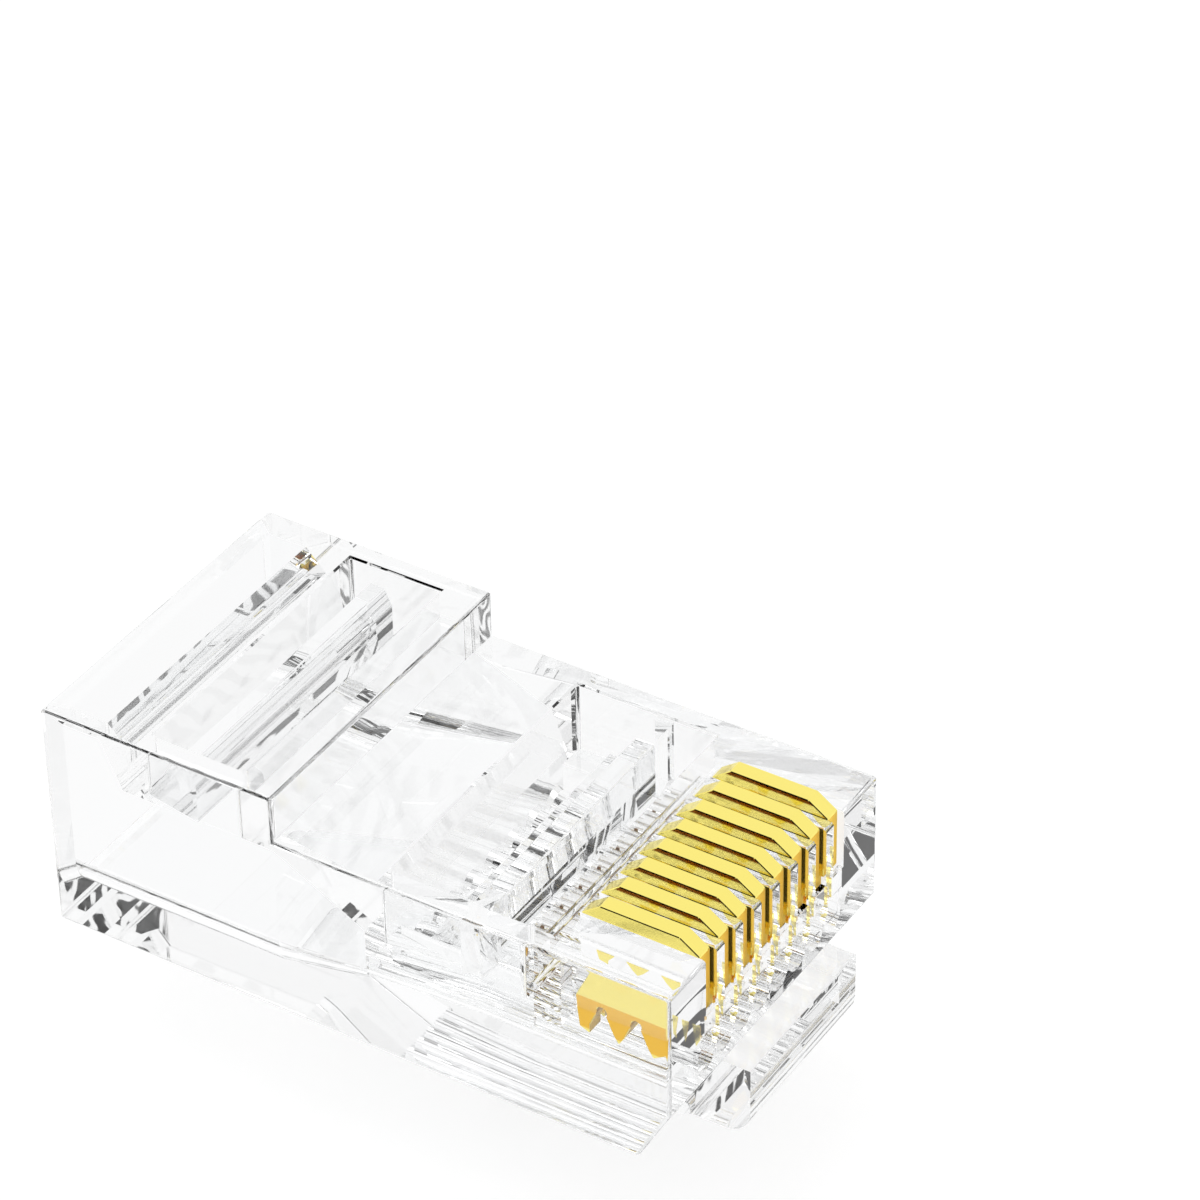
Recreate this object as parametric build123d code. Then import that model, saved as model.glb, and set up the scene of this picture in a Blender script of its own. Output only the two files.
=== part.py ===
from build123d import *

import os

# Plug body, measured back from the nose face and up from the underside
body_width = 11.68
body_length = 21.55
rear_section_length = 8.19
rear_height = 7.95
front_height = 6.35
nose_face_bottom = 2.0
nose_chamfer_back = 1.1
edge_round = 0.12
side_wall = 0.75
floor_thickness = 1.35
rear_roof_thickness = 0.55

# Cable tunnel, its flared mouth and the funnel that leads the wires forward
tunnel_height = 4.4
tunnel_corner_radius = 1.0
mouth_flare = 0.35
mouth_flare_depth = 0.55
funnel_lead = 0.24
funnel_front_width = 9.5
funnel_front_height = 1.9

# Window over the cable jacket, and the lip that carries the jacket clamp
jacket_window_inset = 1.34
jacket_window_length = 3.3
jacket_window_width = 10.2
lip_foot_length = 0.95
lip_slope_length = 0.7
window_corner_radius = 0.15
window_rim_bevel = 0.06

# Eight wire channels, spread where the wires enter and even under the contacts
wire_count = 8
contact_pitch = 1.02
entry_pitch = 1.17
channel_diameter = 0.94
channel_axis_height = 2.5
channel_nose_wall = 0.6
channel_bend_back = 7.2
channel_entry_length = 0.74

# Pocket over the wires, with a ledge and a wedge rib at each of its ends
wire_pocket_front = 5.0
wire_pocket_rear = 9.86
wire_pocket_width = 10.1
wire_pocket_ledge_height = 3.9
wire_pocket_inner_width = 8.3
wire_ridge_rise = 0.1
pocket_rib_drop = 0.15
pocket_rib_tip = 0.08

# Contact blades and the slots that guide them
contact_thickness = 0.56
contact_proud = 0.45
contact_front_back = 0.21
contact_length = 3.9
contact_front_bevel = 0.66
contact_rear_bevel = 0.61
contact_step_height = 4.35
contact_step_depth = 0.4
contact_tip_lift = 0.06
contact_press_travel = 0.78
prong_count = 3
prong_pitch = 1.15
prong_tip_back = 0.49
prong_root_height = 1.1
prong_foot_height = 0.3
prong_arch_width = 0.78
prong_crown_width = 0.31
prong_crown_height = 0.24
contact_heel_height = 1.22
contact_heel_depth = 0.42
contact_heel_lean = 0.14
contact_waist_depth = 0.99
contact_waist_drop = 0.92
contact_back_drop = 0.42
slot_side_clearance = 0.02
slot_end_clearance = 0.04
slot_mouth_height = 4.3

# Clamp over the cable jacket, hinged on a thin web at the lip
hinge_clearance = 0.02
jacket_web_radius = 0.15
jacket_web_lift = 0.05
jacket_clamp_side_gap = 0.2
jacket_clamp_length = 1.6
jacket_clamp_ridge_back = 0.85
jacket_clamp_ridge_width = 0.38
jacket_clamp_top_drop = 0.54
jacket_clamp_bevel_height = 0.56
jacket_clamp_bevel_length = 0.27
jacket_clamp_keel = 0.25
clamp_edge_round = 0.06

# Clamp over the eight wires, hinged on a thin web at the front of its pocket
wire_web_radius = 0.14
wire_web_lift = 0.05
wire_web_length = 1.5
wire_clamp_side_gap = 0.15
wire_clamp_length = 2.3
wire_clamp_top_drop = 0.27
wire_clamp_crest = 0.66
wire_clamp_step_length = 0.29
wire_clamp_step_run = 0.62
wire_clamp_step_drop = 0.96

# Latch: a root on the nose, a sprung arm with two locking shoulders and a tab
latch_width = 6.02
latch_tab_width = 3.25
latch_root_reach = 0.95
latch_root_front_bottom = 0.4
latch_root_bottom = -0.48
latch_root_seat = 0.9
latch_hinge_back = 1.3
latch_hinge_gap = 0.15
latch_hinge_thickness = 0.47
latch_shoulder_back = 8.36
latch_shoulder_top = -1.55
latch_shoulder_bottom = -3.0
latch_arm_thickness = 0.85
latch_tab_back = 14.5
latch_tab_bottom = -3.6
latch_tab_thickness = 0.8

# Values that follow from the sizes above
step_back = body_length - rear_section_length
jacket_window_front = step_back + jacket_window_inset
jacket_window_rear = jacket_window_front + jacket_window_length
inner_width = body_width - 2 * side_wall
tunnel_ceiling = floor_thickness + tunnel_height
mouth_ceiling = rear_height - rear_roof_thickness
funnel_rear = step_back + funnel_lead
funnel_front = wire_pocket_rear + channel_entry_length
channel_radius = channel_diameter / 2
channel_bottom = channel_axis_height - channel_radius
contact_rear_back = contact_front_back + contact_length
contact_top = front_height + contact_proud
contact_tip_height = channel_axis_height + channel_radius + contact_tip_lift
jacket_web_height = tunnel_ceiling + jacket_web_lift + jacket_web_radius
wire_web_height = wire_pocket_ledge_height + wire_web_lift + wire_web_radius
wire_bar_front = wire_pocket_front + wire_web_length
latch_hinge_radius = latch_hinge_thickness / 2
latch_hinge_height = -latch_hinge_gap - latch_hinge_radius
over_cut = 1.0

# The frame stands at the middle of the footprint, at the lowest point of the latch
frame_shift = Location(((body_length - latch_root_reach) / 2, 0, -latch_tab_bottom))


def prism(outline, width, y=0.0):
    """Solid with an outline of (x, z) points, as wide as given and centred on y."""
    face = Plane.XZ * Polygon(*outline, align=None)
    return Pos(0, y, 0) * extrude(face, amount=width / 2, both=True)


def block(back_front, back_rear, width, bottom, top, y=0.0):
    """Box between two distances behind the nose face and two heights."""
    outline = [(-back_rear, bottom), (-back_front, bottom), (-back_front, top), (-back_rear, top)]
    return prism(outline, width, y)


def window_cut(back_front, back_rear, width, bottom, top):
    """Straight cut down through a roof, with rounded corners and a bevelled rim."""
    cut = block(back_front, back_rear, width, bottom, top + over_cut)
    cut = fillet(cut.edges().filter_by(Axis.Z), window_corner_radius)
    rim = Rectangle(back_rear - back_front + 2 * window_rim_bevel, width + 2 * window_rim_bevel)
    middle = Pos(-(back_front + back_rear) / 2, 0, top)
    return cut + middle * extrude(rim, amount=-window_rim_bevel, taper=45)


def hinge_barrel(back, height, radius, width):
    """Round bar across the plug, on the line about which a web bends."""
    return Pos(-back, 0, height) * Rot(90, 0, 0) * Cylinder(radius, width)


def tunnel_section(back, width, bottom, top, corner):
    """Upright section across the plug, with rounded lower corners."""
    plane = Plane(origin=(-back, 0, 0), x_dir=(0, 1, 0), z_dir=(1, 0, 0))
    section = plane * Pos(0, (bottom + top) / 2) * Rectangle(width, top - bottom)
    lower = section.vertices().sort_by(Axis.Z)[:2]
    return fillet(lower, corner)


def body_blank():
    """Stepped outer block with its lower nose chamfer and softened edges."""
    blank = prism(
        [
            (-body_length, 0),
            (-nose_chamfer_back, 0),
            (0, nose_face_bottom),
            (0, front_height),
            (-step_back, front_height),
            (-step_back, rear_height),
            (-body_length, rear_height),
        ],
        body_width,
    )
    corner = blank.edges().filter_by(Axis.Y).sort_by_distance((-step_back, 0, front_height))[0]
    return fillet([edge for edge in blank.edges() if edge != corner], edge_round)


def cable_tunnel():
    """Space that the cable jacket fills, from the flared mouth to the funnel's end."""
    straight = extrude(
        tunnel_section(body_length, inner_width, floor_thickness, tunnel_ceiling, tunnel_corner_radius),
        amount=body_length - funnel_rear,
    )
    funnel = loft(
        [
            tunnel_section(funnel_rear, inner_width, floor_thickness, tunnel_ceiling, tunnel_corner_radius),
            tunnel_section(
                funnel_front,
                funnel_front_width,
                channel_bottom,
                channel_bottom + funnel_front_height,
                channel_radius,
            ),
        ]
    )
    lip_rear = jacket_window_rear + lip_foot_length
    upper = prism(
        [
            (-body_length, tunnel_ceiling),
            (-lip_rear, tunnel_ceiling),
            (-lip_rear - lip_slope_length, mouth_ceiling),
            (-body_length, mouth_ceiling),
        ],
        inner_width,
    )
    return straight + funnel + upper


def mouth_bevel():
    """Flare round the mouth of the cable tunnel."""
    inner = tunnel_section(
        body_length - mouth_flare_depth, inner_width, floor_thickness, mouth_ceiling, tunnel_corner_radius
    )
    outer = tunnel_section(
        body_length,
        inner_width + 2 * mouth_flare,
        floor_thickness - mouth_flare,
        mouth_ceiling + mouth_flare,
        tunnel_corner_radius,
    )
    return loft([outer, inner])


def jacket_window():
    """Opening in the roof above the cable jacket, with the seat of its clamp's web."""
    opening = window_cut(
        jacket_window_front,
        jacket_window_rear,
        jacket_window_width,
        tunnel_ceiling,
        rear_height,
    )
    seat = hinge_barrel(
        jacket_window_rear,
        jacket_web_height,
        jacket_web_radius + hinge_clearance,
        jacket_window_width,
    )
    return opening + seat


def wire_channel(index):
    """Round channel of one wire, from the funnel to just behind the nose."""
    place = index - (wire_count - 1) / 2
    path = Polyline(
        (-funnel_front - channel_radius, place * entry_pitch, channel_axis_height),
        (-channel_bend_back, place * contact_pitch, channel_axis_height),
        (-channel_nose_wall, place * contact_pitch, channel_axis_height),
    )
    section = Plane(origin=path @ 0, z_dir=path % 0) * Circle(channel_radius)
    return sweep(section, path=path, transition=Transition.RIGHT)


def pocket_rib(side):
    """Wedge rib on one end wall of the wire pocket, level with the clamp's front face."""
    wall = side * wire_pocket_width / 2
    tip = side * wire_pocket_inner_width / 2
    plan = Polygon(
        (-wire_bar_front, tip),
        (-wire_bar_front, wall),
        (-wire_bar_front - wire_clamp_crest, wall),
        (-wire_bar_front - pocket_rib_tip, tip),
        align=None,
    )
    height = front_height - pocket_rib_drop - wire_pocket_ledge_height
    return Pos(0, 0, wire_pocket_ledge_height) * extrude(plan, amount=height, dir=(0, 0, 1))


def wire_pocket():
    """Pocket above the wires, open to them between the ledges at its ends."""
    upper = window_cut(
        wire_pocket_front,
        wire_pocket_rear,
        wire_pocket_width,
        wire_pocket_ledge_height,
        front_height,
    )
    lower = block(
        wire_pocket_front,
        wire_pocket_rear,
        wire_pocket_inner_width,
        channel_axis_height + wire_ridge_rise,
        wire_pocket_ledge_height,
    )
    seat = hinge_barrel(
        wire_pocket_front,
        wire_web_height,
        wire_web_radius + hinge_clearance,
        wire_pocket_inner_width,
    )
    cut = upper + lower + seat
    for side in (-1, 1):
        cut -= pocket_rib(side)
    return cut


def contact_slot(index):
    """Guide slot of one contact, open at the top and at the upper nose."""
    y = contact_y(index)
    width = contact_thickness + 2 * slot_side_clearance
    rear = contact_rear_back + slot_end_clearance
    front = contact_front_back - slot_end_clearance
    pressed_step = contact_step_height - contact_press_travel - slot_end_clearance
    top = front_height + over_cut
    prong_part = block(front + contact_step_depth, rear, width, channel_axis_height, top, y)
    head_part = block(front, rear, width, pressed_step, top, y)
    mouth = block(-over_cut, rear, width, slot_mouth_height, top, y)
    return prong_part + head_part + mouth


def contact_y(index):
    """Side position of one contact."""
    return (index - (wire_count - 1) / 2) * contact_pitch


def latch_root():
    """Tongue on the nose from which the latch arm springs, with the seat of its web."""
    front = latch_root_reach
    radius = latch_root_front_bottom - latch_root_bottom
    bend = front - radius
    web_top = latch_hinge_height + latch_hinge_radius
    web_bottom = latch_hinge_height - latch_hinge_radius
    with BuildPart() as root:
        with BuildSketch(Plane.XZ):
            with BuildLine():
                Polyline(
                    (front, latch_root_front_bottom),
                    (front, nose_face_bottom),
                    (-latch_root_seat, nose_face_bottom),
                    (-latch_root_seat, web_top),
                    (-latch_hinge_back, web_top),
                    (-latch_hinge_back, web_bottom),
                    (-latch_root_seat, latch_root_bottom),
                    (bend, latch_root_bottom),
                )
                RadiusArc((bend, latch_root_bottom), (front, latch_root_front_bottom), -radius)
            make_face()
        extrude(amount=latch_width / 2, both=True)
    seat = hinge_barrel(
        latch_hinge_back,
        latch_hinge_height,
        latch_hinge_radius + hinge_clearance,
        latch_width + over_cut,
    )
    return root.part - seat


def make_housing():
    """Clear one-piece housing with its tunnel, windows, channels and slots."""
    housing = body_blank() + latch_root()
    housing -= cable_tunnel()
    housing -= mouth_bevel()
    housing -= jacket_window()
    housing -= wire_pocket()
    for index in range(wire_count):
        housing -= wire_channel(index)
        housing -= contact_slot(index)
    return housing


def make_jacket_clamp():
    """Wedge bar that folds down on the cable jacket about its rear web."""
    rear = -jacket_window_rear
    front = rear + jacket_clamp_length
    ridge = rear + jacket_clamp_ridge_back
    top = rear_height - jacket_clamp_top_drop
    outline = [
        (rear, jacket_web_height - jacket_web_radius),
        (front, tunnel_ceiling - jacket_clamp_keel),
        (front, top - jacket_clamp_bevel_height),
        (front - jacket_clamp_bevel_length, top),
        (ridge, top),
        (rear, jacket_web_height + jacket_web_radius),
    ]
    width = jacket_window_width - 2 * jacket_clamp_side_gap
    bar = prism(outline, width)
    bar = fillet(bar.edges().filter_by(Axis.Y).sort_by(Axis.Z)[-3:], clamp_edge_round)
    return bar + hinge_barrel(jacket_window_rear, jacket_web_height, jacket_web_radius, width)


def make_wire_clamp():
    """Stepped bar that folds down on the eight wires about its front web."""
    front = -wire_pocket_front
    bottom = wire_web_height - wire_web_radius
    web_top = wire_web_height + wire_web_radius
    top = front_height - wire_clamp_top_drop
    step = top - wire_clamp_step_drop
    bar_front = -wire_bar_front
    crest_rear = bar_front - wire_clamp_crest
    step_front = crest_rear - wire_clamp_step_run
    step_rear = step_front - wire_clamp_step_length
    bar_rear = bar_front - wire_clamp_length
    outline = [
        (front, bottom),
        (front, web_top),
        (bar_front, web_top),
        (bar_front, top),
        (crest_rear, top),
        (step_front, step),
        (step_rear, step),
        (bar_rear, bottom),
    ]
    width = wire_pocket_inner_width - 2 * wire_clamp_side_gap
    bar = prism(outline, width)
    bar = fillet(bar.edges().filter_by(Axis.Y).sort_by(Axis.Z)[-4:], clamp_edge_round)
    return bar + hinge_barrel(wire_pocket_front, wire_web_height, wire_web_radius, width)


def make_latch():
    """Sprung arm with two locking shoulders and a narrow finger tab."""
    web_top = latch_hinge_height + latch_hinge_radius
    web_bottom = latch_hinge_height - latch_hinge_radius
    tab_radius = latch_tab_thickness / 2
    tab_end = latch_tab_back - tab_radius
    arm_bottom = latch_shoulder_top - latch_arm_thickness
    arm = prism(
        [
            (-latch_hinge_back, web_bottom),
            (-latch_hinge_back, web_top),
            (-latch_shoulder_back, latch_shoulder_top),
            (-latch_shoulder_back, arm_bottom),
        ],
        latch_width,
    )
    tab = prism(
        [
            (-latch_shoulder_back, latch_shoulder_top),
            (-latch_shoulder_back, arm_bottom),
            (-tab_end, latch_tab_bottom),
            (-tab_end, latch_tab_bottom + latch_tab_thickness),
        ],
        latch_tab_width,
    )
    tip = hinge_barrel(tab_end, latch_tab_bottom + tab_radius, tab_radius, latch_tab_width)
    barrel = hinge_barrel(latch_hinge_back, latch_hinge_height, latch_hinge_radius, latch_width)
    latch = arm + tab + tip + barrel
    rail_width = (latch_width - latch_tab_width) / 2
    rail_y = (latch_width - rail_width) / 2
    for side in (-1, 1):
        latch += prism(
            [
                (-latch_hinge_back, web_bottom),
                (-latch_shoulder_back, arm_bottom),
                (-latch_shoulder_back, latch_shoulder_bottom),
            ],
            rail_width,
            side * rail_y,
        )
    return latch


def contact_profile(front, rear):
    """Side outline of a contact: bevelled head, stepped front, prongs and hooked back."""
    tip = contact_tip_height
    foot = tip + prong_foot_height
    apex = tip + prong_root_height
    half_arch = prong_arch_width / 2
    half_crown = prong_crown_width / 2
    shank = front - contact_step_depth
    tips = [shank - prong_tip_back - prong * prong_pitch for prong in range(prong_count - 1)]
    tips.append(tips[-1] - prong_pitch / 2 - half_arch)
    heel = rear + contact_heel_depth
    with BuildSketch(Plane.XZ) as profile:
        with BuildLine():
            Polyline(
                (rear, front_height - contact_back_drop),
                (rear, front_height),
                (rear + contact_rear_bevel, contact_top),
                (front - contact_front_bevel, contact_top),
                (front, front_height),
                (front, contact_step_height),
                (shank, contact_step_height),
                (shank, foot),
                (tips[0], tip),
            )
            for here, following in zip(tips, tips[1:]):
                middle = here - prong_pitch / 2
                Line((here, tip), (middle + half_arch, foot))
                Line((middle + half_arch, foot), (middle + half_crown, apex - prong_crown_height))
                ThreePointArc(
                    (middle + half_crown, apex - prong_crown_height),
                    (middle, apex),
                    (middle - half_crown, apex - prong_crown_height),
                )
                Line((middle - half_crown, apex - prong_crown_height), (middle - half_arch, foot))
                Line((middle - half_arch, foot), (following, tip))
            Polyline(
                (tips[-1], tip),
                (heel + contact_heel_lean, tip + prong_foot_height / 2),
                (heel, tip + contact_heel_height),
                (rear + contact_waist_depth, front_height - contact_waist_drop),
                (rear, front_height - contact_back_drop),
            )
        make_face()
    return profile.sketch


def make_contact(index):
    """Contact blade with a bevelled head and three piercing prongs."""
    profile = contact_profile(-contact_front_back, -contact_rear_back)
    return Pos(0, contact_y(index), 0) * extrude(profile, amount=contact_thickness / 2, both=True)


def save(solid, name):
    """Write one piece in the plug's own frame."""
    export_step(frame_shift * solid, f"parts/{name}.step")


def main():
    """Build every piece of the plug and write it out."""
    os.makedirs("parts", exist_ok=True)
    save(make_housing(), "housing")
    save(make_jacket_clamp(), "jacket_clamp")
    save(make_wire_clamp(), "wire_clamp")
    save(make_latch(), "latch")
    for index in range(wire_count):
        save(make_contact(index), f"contact_{index + 1}")


main()
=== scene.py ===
"""Looks for a clear eight-way modular plug with gold contacts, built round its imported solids."""

import math

import bmesh
import bpy
from mathutils import Matrix, Vector


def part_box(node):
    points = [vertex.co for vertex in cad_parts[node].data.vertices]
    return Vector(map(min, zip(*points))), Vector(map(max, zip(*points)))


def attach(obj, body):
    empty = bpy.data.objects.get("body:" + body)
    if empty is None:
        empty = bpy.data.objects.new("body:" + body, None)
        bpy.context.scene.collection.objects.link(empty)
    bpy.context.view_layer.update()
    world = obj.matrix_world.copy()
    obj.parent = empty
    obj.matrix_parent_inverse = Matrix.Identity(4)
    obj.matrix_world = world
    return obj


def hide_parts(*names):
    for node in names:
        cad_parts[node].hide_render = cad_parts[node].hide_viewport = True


bl_info = {
    "name": "Modular Plug Looks",
    "version": (1, 0, 0),
    "blender": (4, 5, 0),
    "location": "View3D > Sidebar > Plug",
    "description": "Dresses a clear modular plug: polished plastic, gold contacts and a white studio",
    "category": "Object",
}

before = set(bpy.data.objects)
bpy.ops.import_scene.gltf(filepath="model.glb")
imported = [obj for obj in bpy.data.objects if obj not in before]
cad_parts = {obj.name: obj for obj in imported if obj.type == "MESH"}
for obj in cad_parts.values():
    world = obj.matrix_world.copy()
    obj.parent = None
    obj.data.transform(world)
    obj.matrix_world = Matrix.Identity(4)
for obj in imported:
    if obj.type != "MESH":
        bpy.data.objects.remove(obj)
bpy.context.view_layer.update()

MM = 0.001
MOULDED_NODES = ("housing", "latch", "jacket_clamp", "wire_clamp")
# Dark cards of the studio: azimuth, elevation, half width, half height, brightness, and distance from
# stripe to stripe, which is 0 on a plain card. All but the brightness are in degrees.
CARDS = (
    (90.0, 0.0, 12.0, 7.0, 0.0, 0.0),
    (303.0, 39.0, 11.0, 9.0, 0.0, 0.0),
    (56.0, 39.0, 11.0, 9.0, 0.0, 0.5),
    (124.0, 21.0, 11.0, 7.0, 0.1, 4.1),
    (214.0, -22.0, 8.0, 5.0, 0.1, 3.7),
    (168.0, -39.0, 11.0, 9.0, 0.0, 0.6),
    (281.0, 62.0, 14.0, 11.0, 0.3, 0.0),
    (281.0, 7.0, 10.0, 6.0, 0.2, 2.9),
    (124.0, -64.0, 12.0, 11.0, 0.55, 4.7),
)
# Cards that only metal mirrors: they draw the dark lines along the contacts' upper edges
EDGE_CARDS = (
    (234.0, 43.0, 13.0, 10.0, 0.0, 0.0),
    (296.0, 35.0, 11.0, 9.0, 0.0, 0.0),
)
# Where a card's edge starts and ends, as shares of its half width
CARD_EDGE = (0.96, 1.08)
# How softly stripes run out, and how far they lean
STRIPE_EDGE = 0.15
STRIPE_LEAN = 0.6
# Elevations, in radians, between which the haze comes in
HAZE_RISE = (-1.0, -0.2)
CONTACT_NODES = tuple(sorted(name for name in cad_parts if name.startswith("contact_")))
# How far two golds blend into each other: over the prongs, where the deeper gold of painted shade
# starts, at their tips, and under and over the lower edge of the band of painted shade
CHANGE_BLEND = 0.02 * MM
TIP_BLEND = 0.04 * MM
BAND_BLEND = (0.05 * MM, 0.03 * MM)
# Slants, from 0 seen straight on to 1 seen edge on, between which the deeper gold turns pale as a painted
# sheen
SLANT = (0.35, 0.5)
# Shares of a face's direction along one axis: from the first on it faces that way, below the second
# it faces another way
ALONG = 0.9
ASIDE = 0.5
# Least and greatest roughness of the gold, as shares of its mean
GLOSS_SPREAD = (0.7, 1.4)
# Values of the noise between which the plastic's skin goes from clean to rubbed
RUBBED = (0.45, 0.85)
# How near corners are to be merged, how level faces are to become one, and how sharp an edge is
# to be rounded
MERGED = 0.001 * MM
LEVEL_ANGLE = math.radians(1)
SHARP_ANGLE = math.radians(20)


def linear(red, green, blue):
    """Linear colour, with full alpha, of an 8-bit screen colour."""
    channels = []
    for value in (red, green, blue):
        share = value / 255
        low = share / 12.92
        high = ((share + 0.055) / 1.055) ** 2.4
        channels.append(low if share <= 0.04045 else high)
    return (*channels, 1.0)


class PlugPlastic(bpy.types.PropertyGroup):
    """Finish of the clear moulding."""

    tint: bpy.props.FloatVectorProperty(
        name="Tint",
        description="Colour that light keeps when it passes through the plastic",
        subtype="COLOR",
        size=4,
        min=0.0,
        max=1.0,
        default=(0.985, 0.988, 0.99, 1.0),
    )
    ior: bpy.props.FloatProperty(
        name="Refraction",
        description="Index of refraction of the plastic",
        default=1.585,
    )
    polish: bpy.props.FloatProperty(
        name="Roughness",
        description="Mean roughness of the moulded skin",
        default=0.003,
    )
    rub: bpy.props.FloatProperty(
        name="Rub",
        description="How many times rougher a rubbed patch is than the skin round it",
        default=6.0,
    )
    rub_fineness: bpy.props.FloatProperty(
        name="Rub fineness",
        description="How many rubbed patches stand side by side on a metre",
        default=900.0,
    )
    ripple: bpy.props.FloatProperty(
        name="Ripple",
        description="Depth of the slow waves that moulding leaves in the skin",
        subtype="DISTANCE",
        default=0.0016 * MM,
    )
    ripple_length: bpy.props.FloatProperty(
        name="Ripple length",
        description="Distance from wave to wave in the skin",
        subtype="DISTANCE",
        default=2.2 * MM,
    )


class PlugGold(bpy.types.PropertyGroup):
    """Finish, painted shade, painted sheen and edges of the contacts."""

    head: bpy.props.FloatVectorProperty(
        name="Head",
        description="Colour of the polished head of a contact",
        subtype="COLOR",
        size=4,
        min=0.0,
        max=1.0,
        default=linear(252, 236, 128),
    )
    # The deeper prong colour is painted shade: under the change height a contact is darkened, and the
    # tips stay pale
    prong: bpy.props.FloatVectorProperty(
        name="Prongs",
        description="Deeper colour of the prongs below the slot",
        subtype="COLOR",
        size=4,
        min=0.0,
        max=1.0,
        default=linear(240, 186, 20),
    )
    # The band colour is painted shade: brown at the top of the sides that face a neighbour over the band
    # height, and on the prongs' cut faces
    band: bpy.props.FloatVectorProperty(
        name="Band",
        description="Colour of the burnished band at the top of a contact's inner sides",
        subtype="COLOR",
        size=4,
        min=0.0,
        max=1.0,
        default=linear(120, 66, 8),
    )
    band_height: bpy.props.FloatProperty(
        name="Band height",
        description="Height of the burnished band",
        subtype="DISTANCE",
        default=0.14 * MM,
    )
    change_height: bpy.props.FloatProperty(
        name="Change height",
        description="Height over a prong's tip where the deeper colour starts",
        subtype="DISTANCE",
        default=1.27 * MM,
    )
    tip_height: bpy.props.FloatProperty(
        name="Tip height",
        description="Height of the paler tip of a prong",
        subtype="DISTANCE",
        default=0.16 * MM,
    )
    roughness: bpy.props.FloatProperty(
        name="Roughness",
        description="Mean roughness of the plating",
        default=0.08,
    )
    cut_roughness: bpy.props.FloatProperty(
        name="Cut roughness",
        description="Roughness of the cut face at a contact's front",
        default=0.45,
    )
    cut_colour: bpy.props.FloatProperty(
        name="Cut colour",
        description="Share of the deeper colour on the cut face at a contact's front",
        default=0.7,
    )
    drawn_scale: bpy.props.FloatVectorProperty(
        name="Drawing marks",
        description="Fineness of the drawing marks along and across a contact",
        size=3,
        default=(400.0, 9000.0, 9000.0),
    )
    drawn_depth: bpy.props.FloatProperty(
        name="Mark depth",
        description="Depth of the drawing marks",
        subtype="DISTANCE",
        default=0.002 * MM,
    )
    edge: bpy.props.FloatProperty(
        name="Edge",
        description="Width of the rounding along a contact's edges",
        subtype="DISTANCE",
        default=0.03 * MM,
    )
    grip: bpy.props.FloatProperty(
        name="Grip",
        description="How far each side of a prong is pressed against its slot",
        subtype="DISTANCE",
        default=0.03 * MM,
    )
    grip_height: bpy.props.FloatProperty(
        name="Grip height",
        description="Height over a prong's tip up to which the plastic grips a contact",
        subtype="DISTANCE",
        default=0.78 * MM,
    )
    grip_taper: bpy.props.FloatProperty(
        name="Grip taper",
        description="Height over which a gripped side runs back to the contact's own thickness",
        subtype="DISTANCE",
        default=0.2 * MM,
    )


class PlugStage(bpy.types.PropertyGroup):
    """Camera, floor, lamps and surroundings."""

    camera_place: bpy.props.FloatVectorProperty(
        name="Camera",
        description="Where the camera stands",
        subtype="TRANSLATION",
        default=(68.16 * MM, -99.31 * MM, 105.26 * MM),
    )
    azimuth: bpy.props.FloatProperty(
        name="Azimuth",
        description="Side from which the camera looks, in degrees from the front",
        default=32.44,
    )
    elevation: bpy.props.FloatProperty(
        name="Elevation",
        description="Height of the camera over the horizon, in degrees",
        default=36.57,
    )
    roll: bpy.props.FloatProperty(
        name="Roll",
        description="Clockwise turn of the camera about its own line of sight, in degrees",
        default=0.905,
    )
    lens: bpy.props.FloatProperty(
        name="Lens",
        description="Focal length for a 36 mm sensor, in millimetres",
        default=157.53,
    )
    shift: bpy.props.FloatVectorProperty(
        name="Shift",
        description="Shift of the picture's centre, in picture widths",
        size=2,
        default=(-0.0128, 0.0013),
    )
    floor_size: bpy.props.FloatProperty(
        name="Floor",
        description="Radius of the floor",
        subtype="DISTANCE",
        default=0.6,
    )
    floor_colour: bpy.props.FloatVectorProperty(
        name="Floor colour",
        description="Colour of the floor",
        subtype="COLOR",
        size=4,
        min=0.0,
        max=1.0,
        default=(0.8, 0.8, 0.8, 1.0),
    )
    floor_shade: bpy.props.FloatVectorProperty(
        name="Floor shade",
        description="Share of the floor's white that takes the plug's shadow",
        subtype="COLOR",
        size=4,
        min=0.0,
        max=1.0,
        default=(0.25, 0.25, 0.25, 1.0),
    )
    floor_glow: bpy.props.FloatProperty(
        name="Floor glow",
        description="Even white that the seen floor adds to its shaded part",
        default=0.84,
    )
    lamp_power: bpy.props.FloatProperty(
        name="Lamp power",
        description="Power of the large lamp overhead, in watts",
        default=0.35,
    )
    lamp_place: bpy.props.FloatVectorProperty(
        name="Lamp place",
        description="Where the large lamp hangs",
        subtype="TRANSLATION",
        default=(-0.12, 0.05, 0.35),
    )
    lamp_size: bpy.props.FloatProperty(
        name="Lamp size",
        description="Side of the large square lamp",
        subtype="DISTANCE",
        default=0.25,
    )
    sky: bpy.props.FloatProperty(
        name="Sky",
        description="Strength of the even light from all round",
        default=0.75,
    )
    haze: bpy.props.FloatProperty(
        name="Haze",
        description="Brightness above the horizon of what the clear plastic shows",
        default=0.93,
    )
    bounces: bpy.props.IntProperty(
        name="Bounces",
        description="How many faces of the clear plastic a ray may pass or meet",
        default=16,
    )
    mirrorings: bpy.props.IntProperty(
        name="Mirrorings",
        description="How many times a ray may be mirrored",
        default=12,
    )


def add_node(tree, kind, **inputs):
    """A new node with its named inputs set."""
    node = tree.nodes.new(kind)
    for name, value in inputs.items():
        node.inputs[name.replace("_", " ")].default_value = value
    return node


def new_material(name):
    """An empty node material with its output."""
    material = bpy.data.materials.new(name)
    material.use_nodes = True
    material.node_tree.nodes.clear()
    output = material.node_tree.nodes.new("ShaderNodeOutputMaterial")
    return material, material.node_tree, output


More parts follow.
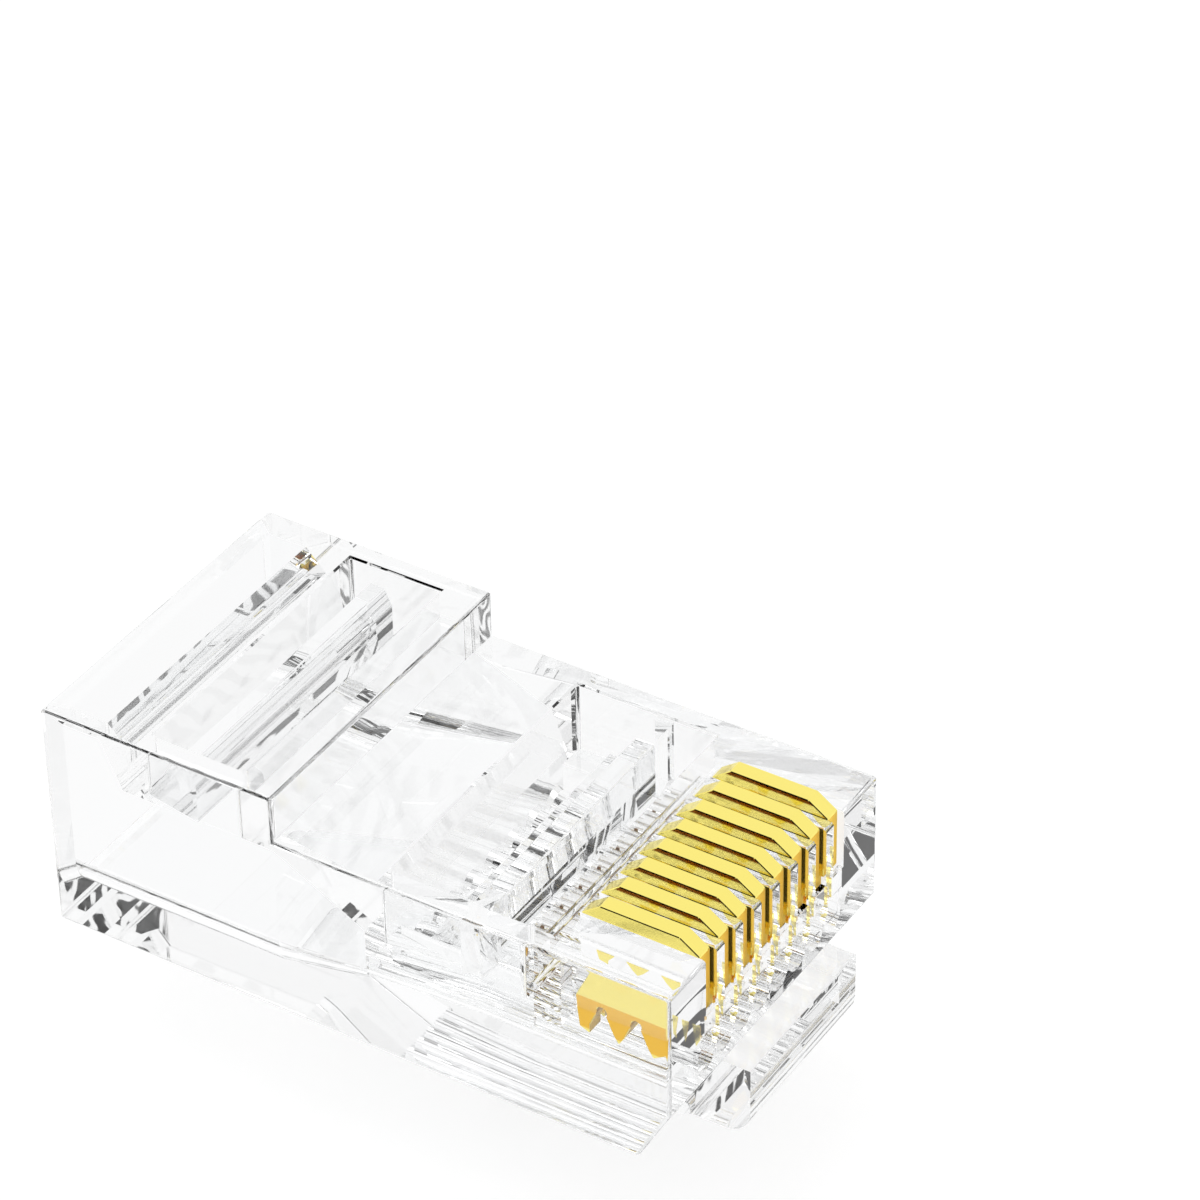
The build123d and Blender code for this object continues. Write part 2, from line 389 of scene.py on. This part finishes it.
def calculate(tree, operation, *values):
    """Output socket of one sum on sockets or plain numbers."""
    node = tree.nodes.new("ShaderNodeMath")
    node.operation = operation
    for place, value in enumerate(values):
        if isinstance(value, (int, float)):
            node.inputs[place].default_value = value
        else:
            tree.links.new(value, node.inputs[place])
    return node.outputs[0]


def soft_step(tree, value, start, end, low, high):
    """Socket that runs smoothly from low to high while the value goes from start to end."""
    step = tree.nodes.new("ShaderNodeMapRange")
    step.interpolation_type = "SMOOTHSTEP"
    step.inputs["From Min"].default_value = start
    step.inputs["From Max"].default_value = end
    step.inputs["To Min"].default_value = low
    step.inputs["To Max"].default_value = high
    tree.links.new(value, step.inputs["Value"])
    return step.outputs["Result"]


def mixed(tree, factor, first, second):
    """Socket of a colour that turns from the first to the second as the factor goes from 0 to 1."""
    node = tree.nodes.new("ShaderNodeMix")
    node.data_type = "RGBA"
    tree.links.new(factor, node.inputs["Factor"])
    for name, colour in (("A", first), ("B", second)):
        if isinstance(colour, bpy.types.NodeSocket):
            tree.links.new(colour, node.inputs[name])
        else:
            node.inputs[name].default_value = colour
    return node.outputs["Result"]


def clear_plastic(settings):
    """Polished clear plastic with slow moulding waves and a few rubbed patches."""
    material, tree, output = new_material("clear_plastic")
    link = tree.links.new
    shader = add_node(tree, "ShaderNodeBsdfPrincipled")
    shader.inputs["Base Color"].default_value = settings.tint
    shader.inputs["IOR"].default_value = settings.ior
    shader.inputs["Transmission Weight"].default_value = 1.0
    place = add_node(tree, "ShaderNodeTexCoord")
    rubbed = add_node(tree, "ShaderNodeTexNoise", Scale=settings.rub_fineness, Detail=4.0)
    rubbed.inputs["Roughness"].default_value = 0.65
    polish = add_node(tree, "ShaderNodeMapRange")
    polish.inputs["From Min"].default_value = RUBBED[0]
    polish.inputs["From Max"].default_value = RUBBED[1]
    polish.inputs["To Min"].default_value = settings.polish
    polish.inputs["To Max"].default_value = settings.polish * settings.rub
    waves = add_node(tree, "ShaderNodeTexNoise", Scale=1 / settings.ripple_length, Detail=1.0)
    bump = add_node(tree, "ShaderNodeBump", Strength=1.0, Distance=settings.ripple)
    link(place.outputs["Object"], rubbed.inputs["Vector"])
    link(place.outputs["Object"], waves.inputs["Vector"])
    link(rubbed.outputs["Fac"], polish.inputs["Value"])
    link(polish.outputs["Result"], shader.inputs["Roughness"])
    link(waves.outputs["Fac"], bump.inputs["Height"])
    link(bump.outputs["Normal"], shader.inputs["Normal"])
    link(shader.outputs["BSDF"], output.inputs["Surface"])
    return material


def gold_colour(tree, settings, low, high, place, facing):
    """Pale head and tips, prongs deeper with painted shade, pale at a slant as a painted sheen, and brown
    painted shade at the top of the sides facing a neighbour and on the prongs' cut faces.
    """
    height = place.outputs["Z"]
    change = low[2] + settings.change_height
    tip = low[2] + settings.tip_height
    band = high[2] - settings.band_height
    # Painted shade: under the change height the prongs take the deeper gold, while the tips stay pale
    head = soft_step(tree, height, change - CHANGE_BLEND, change + CHANGE_BLEND, 0.0, 1.0)
    end = soft_step(tree, height, tip - TIP_BLEND, tip + TIP_BLEND, 1.0, 0.0)
    # Painted sheen: the deeper gold turns pale where a face is seen at a slant
    slant = tree.nodes.new("ShaderNodeLayerWeight").outputs["Facing"]
    painted_sheen = soft_step(tree, slant, *SLANT, 0.0, 1.0)
    pale = calculate(tree, "MAXIMUM", calculate(tree, "MAXIMUM", head, end), painted_sheen)
    front = cut_front(tree, facing)
    kept = calculate(tree, "SUBTRACT", 1.0, calculate(tree, "MULTIPLY", front, settings.cut_colour))
    colour = mixed(tree, calculate(tree, "MULTIPLY", pale, kept), settings.prong, settings.head)
    # Painted shade: brown at the top of the sides that face a neighbour, and on the prongs' cut faces
    sideways = calculate(tree, "ABSOLUTE", facing.outputs["Y"])
    inner = calculate(tree, "GREATER_THAN", place.outputs["Y"], (low[1] + high[1]) / 2)
    painted_shade = soft_step(tree, height, band - BAND_BLEND[0], band + BAND_BLEND[1], 0.0, 1.0)
    painted_shade = calculate(tree, "MULTIPLY", painted_shade, inner)
    painted_shade = calculate(tree, "MULTIPLY", painted_shade, calculate(tree, "GREATER_THAN", sideways, ALONG))
    between = calculate(tree, "LESS_THAN", height, change)
    between = calculate(tree, "MULTIPLY", between, calculate(tree, "LESS_THAN", sideways, ASIDE))
    between = calculate(tree, "MULTIPLY", between, calculate(tree, "SUBTRACT", 1.0, front))
    return mixed(tree, calculate(tree, "MAXIMUM", painted_shade, between), colour, settings.band)


def cut_front(tree, facing):
    """Socket that is 1 on the cut face at a contact's front."""
    return calculate(tree, "GREATER_THAN", facing.outputs["X"], ALONG)


def gold_plating(settings, low, high):
    """Bright gold, deeper on the prongs with painted shade, and brown with painted shade where contacts
    face each other.
    """
    material, tree, output = new_material("gold_plating")
    link = tree.links.new
    shader = add_node(tree, "ShaderNodeBsdfPrincipled", Metallic=1.0)
    coordinates = tree.nodes.new("ShaderNodeTexCoord")
    place = tree.nodes.new("ShaderNodeSeparateXYZ")
    facing = tree.nodes.new("ShaderNodeSeparateXYZ")
    drawn = add_node(tree, "ShaderNodeMapping", Scale=settings.drawn_scale)
    marks = add_node(tree, "ShaderNodeTexNoise", Scale=1.0, Detail=3.0)
    gloss = add_node(tree, "ShaderNodeMapRange")
    gloss.inputs["To Min"].default_value = settings.roughness * GLOSS_SPREAD[0]
    gloss.inputs["To Max"].default_value = settings.roughness * GLOSS_SPREAD[1]
    bump = add_node(tree, "ShaderNodeBump", Strength=0.25, Distance=settings.drawn_depth)
    link(coordinates.outputs["Object"], place.inputs["Vector"])
    link(tree.nodes.new("ShaderNodeNewGeometry").outputs["True Normal"], facing.inputs["Vector"])
    link(gold_colour(tree, settings, low, high, place, facing), shader.inputs["Base Color"])
    link(coordinates.outputs["Object"], drawn.inputs["Vector"])
    link(drawn.outputs["Vector"], marks.inputs["Vector"])
    link(marks.outputs["Fac"], gloss.inputs["Value"])
    rough = calculate(tree, "MULTIPLY", cut_front(tree, facing), settings.cut_roughness)
    link(calculate(tree, "MAXIMUM", gloss.outputs["Result"], rough), shader.inputs["Roughness"])
    link(marks.outputs["Fac"], bump.inputs["Height"])
    link(bump.outputs["Normal"], shader.inputs["Normal"])
    link(shader.outputs["BSDF"], output.inputs["Surface"])
    return material


def dress(node, material):
    """Gives a carried-over solid its finish."""
    node.data.materials.clear()
    node.data.materials.append(material)


class PLUG_OT_moulding(bpy.types.Operator):
    """Gives the housing, the latch and both clamps their clear plastic"""

    bl_idname = "plug.moulding"
    bl_label = "Dress Moulding"

    def execute(self, context):
        material = clear_plastic(context.scene.plug_plastic)
        for name in MOULDED_NODES:
            dress(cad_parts[name], material)
        return {"FINISHED"}


def contact_blade(settings):
    """One contact at the middle of the row, with rounded edges and prongs that grip the plastic."""
    low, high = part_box(CONTACT_NODES[0])
    middle = (low[1] + high[1]) / 2
    wider = 1 + 2 * settings.grip / (high[1] - low[1])
    grip_top = low[2] + settings.grip_height
    shape = bmesh.new()
    shape.from_mesh(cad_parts[CONTACT_NODES[0]].data)
    bmesh.ops.remove_doubles(shape, verts=shape.verts, dist=MERGED)
    bmesh.ops.dissolve_limit(shape, angle_limit=LEVEL_ANGLE, verts=shape.verts, edges=shape.edges)
    for level in (grip_top, grip_top + settings.grip_taper):
        every = shape.verts[:] + shape.edges[:] + shape.faces[:]
        bmesh.ops.bisect_plane(shape, geom=every, plane_co=(0, 0, level), plane_no=(0, 0, 1))
    for vertex in shape.verts:
        gripped = vertex.co.z < grip_top + settings.grip_taper / 2
        vertex.co.y = (vertex.co.y - middle) * (wider if gripped else 1)
    sharp = [edge for edge in shape.edges if edge.calc_face_angle(0) > SHARP_ANGLE]
    bmesh.ops.bevel(
        shape,
        geom=sharp,
        offset=settings.edge,
        segments=1,
        affect="EDGES",
        clamp_overlap=True,
    )
    bmesh.ops.recalc_face_normals(shape, faces=shape.faces)
    mesh = bpy.data.meshes.new("contact_blade")
    shape.to_mesh(mesh)
    shape.free()
    return bpy.data.objects.new("contact_blade", mesh)


def add_socket(tree, name, kind, way="INPUT"):
    """A named input or output of a node tree."""
    return tree.interface.new_socket(name, in_out=way, socket_type=kind)


def contact_row_tree():
    """Tree that sets one contact of an evenly spaced row in its place."""
    tree = bpy.data.node_groups.new("contact_row", "GeometryNodeTree")
    add_socket(tree, "Geometry", "NodeSocketGeometry", "OUTPUT")
    add_socket(tree, "Blade", "NodeSocketObject")
    add_socket(tree, "Count", "NodeSocketInt")
    add_socket(tree, "Pitch", "NodeSocketFloat")
    add_socket(tree, "Place", "NodeSocketInt")
    add_socket(tree, "Material", "NodeSocketMaterial")
    link = tree.links.new
    given = tree.nodes.new("NodeGroupInput")
    result = tree.nodes.new("NodeGroupOutput")
    step = tree.nodes.new("ShaderNodeCombineXYZ")
    start = tree.nodes.new("ShaderNodeCombineXYZ")
    row = tree.nodes.new("GeometryNodeMeshLine")
    blade = tree.nodes.new("GeometryNodeObjectInfo")
    index = tree.nodes.new("GeometryNodeInputIndex")
    wanted = tree.nodes.new("FunctionNodeCompare")
    wanted.data_type = "INT"
    wanted.operation = "EQUAL"
    copies = tree.nodes.new("GeometryNodeInstanceOnPoints")
    real = tree.nodes.new("GeometryNodeRealizeInstances")
    finish = tree.nodes.new("GeometryNodeSetMaterial")
    gaps = calculate(tree, "SUBTRACT", given.outputs["Count"], 1)
    half = calculate(tree, "MULTIPLY", calculate(tree, "MULTIPLY", gaps, given.outputs["Pitch"]), -0.5)
    link(half, start.inputs["Y"])
    link(given.outputs["Pitch"], step.inputs["Y"])
    link(given.outputs["Count"], row.inputs["Count"])
    link(start.outputs[0], row.inputs["Start Location"])
    link(step.outputs[0], row.inputs["Offset"])
    link(given.outputs["Blade"], blade.inputs["Object"])
    link(index.outputs[0], wanted.inputs[2])
    link(given.outputs["Place"], wanted.inputs[3])
    link(row.outputs["Mesh"], copies.inputs["Points"])
    link(wanted.outputs["Result"], copies.inputs["Selection"])
    link(blade.outputs["Geometry"], copies.inputs["Instance"])
    link(copies.outputs["Instances"], real.inputs["Geometry"])
    link(real.outputs["Geometry"], finish.inputs["Geometry"])
    link(given.outputs["Material"], finish.inputs["Material"])
    link(finish.outputs["Geometry"], result.inputs["Geometry"])
    return tree


def grown(name, tree, inputs):
    """Plain mesh object of what a tree makes from the named inputs."""
    carrier = bpy.data.objects.new(name + "_carrier", bpy.data.meshes.new(name + "_carrier"))
    bpy.context.scene.collection.objects.link(carrier)
    modifier = carrier.modifiers.new("rule", "NODES")
    modifier.node_group = tree
    sockets = {item.name: item.identifier for item in tree.interface.items_tree if item.in_out == "INPUT"}
    for label, value in inputs.items():
        modifier[sockets[label]] = value
    evaluated = carrier.evaluated_get(bpy.context.evaluated_depsgraph_get())
    mesh = bpy.data.meshes.new_from_object(evaluated)
    bpy.data.objects.remove(carrier)
    if not mesh.polygons:
        raise RuntimeError(f"{name} came out empty")
    piece = bpy.data.objects.new(name, mesh)
    bpy.context.scene.collection.objects.link(piece)
    return piece


class PLUG_OT_contacts(bpy.types.Operator):
    """Makes the eight gold contacts, each on its own body"""

    bl_idname = "plug.contacts"
    bl_label = "Make Contacts"

    def execute(self, context):
        settings = context.scene.plug_gold
        boxes = [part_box(name) for name in CONTACT_NODES]
        middles = [(low[1] + high[1]) / 2 for low, high in boxes]
        pitch = (middles[-1] - middles[0]) / (len(middles) - 1)
        material = gold_plating(settings, *boxes[0])
        blade = contact_blade(settings)
        tree = contact_row_tree()
        for place, name in enumerate(CONTACT_NODES):
            inputs = {
                "Blade": blade,
                "Count": len(CONTACT_NODES),
                "Pitch": pitch,
                "Place": place,
                "Material": material,
            }
            piece = grown("gold_" + name, tree, inputs)
            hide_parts(name)
            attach(piece, name)
        bpy.data.objects.remove(blade)
        return {"FINISHED"}


def make_floor(settings):
    """A round white floor that keeps the plug's shadow and lets the plastic see past it."""
    mesh = bpy.data.meshes.new("floor")
    shape = bmesh.new()
    bmesh.ops.create_circle(shape, cap_ends=True, radius=settings.floor_size, segments=96)
    shape.to_mesh(mesh)
    shape.free()
    floor = bpy.data.objects.new("floor", mesh)
    bpy.context.scene.collection.objects.link(floor)
    material, tree, output = new_material("floor_white")
    link = tree.links.new
    plain = add_node(tree, "ShaderNodeBsdfDiffuse", Color=settings.floor_colour)
    shaded = add_node(tree, "ShaderNodeBsdfDiffuse", Color=settings.floor_shade)
    glow = add_node(tree, "ShaderNodeEmission", Strength=settings.floor_glow)
    past = tree.nodes.new("ShaderNodeBsdfTransparent")
    lit = tree.nodes.new("ShaderNodeAddShader")
    for_seen = tree.nodes.new("ShaderNodeMixShader")
    for_clear = tree.nodes.new("ShaderNodeMixShader")
    path = tree.nodes.new("ShaderNodeLightPath")
    link(shaded.outputs[0], lit.inputs[0])
    link(glow.outputs[0], lit.inputs[1])
    seen = calculate(tree, "MAXIMUM", path.outputs["Is Camera Ray"], path.outputs["Is Glossy Ray"])
    link(seen, for_seen.inputs["Fac"])
    link(plain.outputs[0], for_seen.inputs[1])
    link(lit.outputs[0], for_seen.inputs[2])
    link(path.outputs["Is Transmission Ray"], for_clear.inputs["Fac"])
    link(for_seen.outputs[0], for_clear.inputs[1])
    link(past.outputs[0], for_clear.inputs[2])
    link(for_clear.outputs[0], output.inputs["Surface"])
    mesh.materials.append(material)


def card_level(tree, azimuth, elevation, card):
    """Brightness past one card: 1 outside it, its own level or stripes inside."""
    middle_azimuth, middle_elevation, half_width, half_height, level, stripe = card
    side = calculate(tree, "SUBTRACT", azimuth, math.radians(middle_azimuth))
    side = calculate(tree, "WRAP", side, math.pi, -math.pi)
    rise = calculate(tree, "SUBTRACT", elevation, math.radians(middle_elevation))
    across = calculate(tree, "ABSOLUTE", calculate(tree, "DIVIDE", side, math.radians(half_width)))
    up = calculate(tree, "ABSOLUTE", calculate(tree, "DIVIDE", rise, math.radians(half_height)))
    outside = soft_step(tree, calculate(tree, "MAXIMUM", across, up), *CARD_EDGE, 0.0, 1.0)
    if stripe:
        slant = calculate(tree, "ADD", side, calculate(tree, "MULTIPLY", rise, STRIPE_LEAN))
        wave = calculate(tree, "SINE", calculate(tree, "MULTIPLY", slant, 360.0 / stripe))
        inside = soft_step(tree, wave, -STRIPE_EDGE, STRIPE_EDGE, level, 1.0)
        return calculate(tree, "MAXIMUM", outside, inside)
    return calculate(tree, "MAXIMUM", outside, level)


def cards_level(tree, azimuth, elevation, cards, level):
    """The level with a row of cards held in front of it."""
    for card in cards:
        level = calculate(tree, "MULTIPLY", level, card_level(tree, azimuth, elevation, card))
    return level


def make_world(settings):
    """Even light for the surfaces, white for the camera and dark cards for the clear plastic."""
    world = bpy.data.worlds.new("studio")
    world.use_nodes = True
    tree = world.node_tree
    tree.nodes.clear()
    link = tree.links.new
    output = tree.nodes.new("ShaderNodeOutputWorld")
    path = tree.nodes.new("ShaderNodeLightPath")
    place = tree.nodes.new("ShaderNodeTexCoord")
    split = tree.nodes.new("ShaderNodeSeparateXYZ")
    link(place.outputs["Generated"], split.inputs["Vector"])
    azimuth = calculate(tree, "ARCTAN2", split.outputs["Y"], split.outputs["X"])
    elevation = calculate(tree, "ARCSINE", split.outputs["Z"])
    haze = soft_step(tree, elevation, *HAZE_RISE, 1.0, settings.haze)
    level = cards_level(tree, azimuth, elevation, CARDS, haze)
    mirrored = cards_level(tree, azimuth, elevation, EDGE_CARDS, 1.0)
    even = add_node(tree, "ShaderNodeBackground", Color=(1.0, 1.0, 1.0, 1.0), Strength=settings.sky)
    white = add_node(tree, "ShaderNodeBackground", Color=(1.0, 1.0, 1.0, 1.0), Strength=1.0)
    studio = add_node(tree, "ShaderNodeBackground", Color=(1.0, 1.0, 1.0, 1.0))
    for_sharp = tree.nodes.new("ShaderNodeMixShader")
    for_seen = tree.nodes.new("ShaderNodeMixShader")
    sharp = calculate(tree, "MAXIMUM", path.outputs["Is Transmission Ray"], path.outputs["Is Glossy Ray"])
    outside = calculate(tree, "SUBTRACT", 1.0, path.outputs["Is Transmission Ray"])
    by_ray = tree.nodes.new("ShaderNodeMix")
    link(calculate(tree, "MULTIPLY", path.outputs["Is Glossy Ray"], outside), by_ray.inputs["Factor"])
    link(level, by_ray.inputs["A"])
    link(mirrored, by_ray.inputs["B"])
    link(by_ray.outputs["Result"], studio.inputs["Strength"])
    link(sharp, for_sharp.inputs["Fac"])
    link(even.outputs[0], for_sharp.inputs[1])
    link(studio.outputs[0], for_sharp.inputs[2])
    link(path.outputs["Is Camera Ray"], for_seen.inputs["Fac"])
    link(for_sharp.outputs[0], for_seen.inputs[1])
    link(white.outputs[0], for_seen.inputs[2])
    link(for_seen.outputs[0], output.inputs["Surface"])
    bpy.context.scene.world = world


def make_lamp(name, place, size, power):
    """A soft square lamp that faces the plug."""
    data = bpy.data.lights.new(name, "AREA")
    data.shape = "SQUARE"
    data.size = size
    data.energy = power
    lamp = bpy.data.objects.new(name, data)
    lamp.location = place
    lamp.rotation_mode = "QUATERNION"
    lamp.rotation_quaternion = (-Vector(place)).to_track_quat("-Z", "Y")
    bpy.context.scene.collection.objects.link(lamp)


def make_camera(settings):
    """The camera, at the angle from which the plug was photographed."""
    data = bpy.data.cameras.new("camera")
    data.sensor_width = 36.0
    data.lens = settings.lens
    data.shift_x, data.shift_y = settings.shift
    data.clip_start = 0.001
    data.clip_end = 10.0
    azimuth = math.radians(settings.azimuth)
    elevation = math.radians(settings.elevation)
    back = Vector((
        math.sin(azimuth) * math.cos(elevation),
        -math.cos(azimuth) * math.cos(elevation),
        math.sin(elevation),
    ))
    turn = (-back).to_track_quat("-Z", "Y").to_matrix()
    roll = Matrix.Rotation(math.radians(-settings.roll), 3, "Z")
    camera = bpy.data.objects.new("camera", data)
    camera.location = settings.camera_place
    camera.rotation_mode = "QUATERNION"
    camera.rotation_quaternion = (turn @ roll).to_quaternion()
    bpy.context.scene.collection.objects.link(camera)
    bpy.context.scene.camera = camera


class PLUG_OT_stage(bpy.types.Operator):
    """Makes the floor, the lamps, the surroundings and the camera"""

    bl_idname = "plug.stage"
    bl_label = "Make Stage"

    def execute(self, context):
        settings = context.scene.plug_stage
        make_floor(settings)
        make_world(settings)
        make_lamp("overhead", settings.lamp_place, settings.lamp_size, settings.lamp_power)
        make_camera(settings)
        scene = context.scene
        scene.view_settings.view_transform = "Standard"
        scene.cycles.max_bounces = settings.bounces
        scene.cycles.transmission_bounces = settings.bounces
        scene.cycles.glossy_bounces = settings.mirrorings
        return {"FINISHED"}


class PLUG_PT_panel(bpy.types.Panel):
    """Lists the plug's steps and settings"""

    bl_idname = "PLUG_PT_panel"
    bl_label = "Modular Plug"
    bl_space_type = "VIEW_3D"
    bl_region_type = "UI"
    bl_category = "Plug"

    def draw(self, context):
        layout = self.layout
        for operator in OPERATORS:
            layout.operator(operator.bl_idname)
        for group in GROUPS.values():
            for setting in group.__annotations__:
                layout.prop(getattr(context.scene, group_name(group)), setting)


GROUPS = {"plug_plastic": PlugPlastic, "plug_gold": PlugGold, "plug_stage": PlugStage}
OPERATORS = (PLUG_OT_moulding, PLUG_OT_contacts, PLUG_OT_stage)


def group_name(group):
    """Name under which the scene keeps a group of settings."""
    return next(name for name, kind in GROUPS.items() if kind is group)


def register():
    """Makes the classes known and gives the scene its settings."""
    for group in GROUPS.values():
        bpy.utils.register_class(group)
    for operator in OPERATORS:
        bpy.utils.register_class(operator)
    bpy.utils.register_class(PLUG_PT_panel)
    for name, group in GROUPS.items():
        setattr(bpy.types.Scene, name, bpy.props.PointerProperty(type=group))


def unregister():
    """Takes the settings and the classes away again."""
    for name in GROUPS:
        delattr(bpy.types.Scene, name)
    bpy.utils.unregister_class(PLUG_PT_panel)
    for operator in reversed(OPERATORS):
        bpy.utils.unregister_class(operator)
    for group in reversed(tuple(GROUPS.values())):
        bpy.utils.unregister_class(group)


def main():
    register()
    bpy.ops.plug.moulding()
    bpy.ops.plug.contacts()
    bpy.ops.plug.stage()


if __name__ == "__main__":
    main()
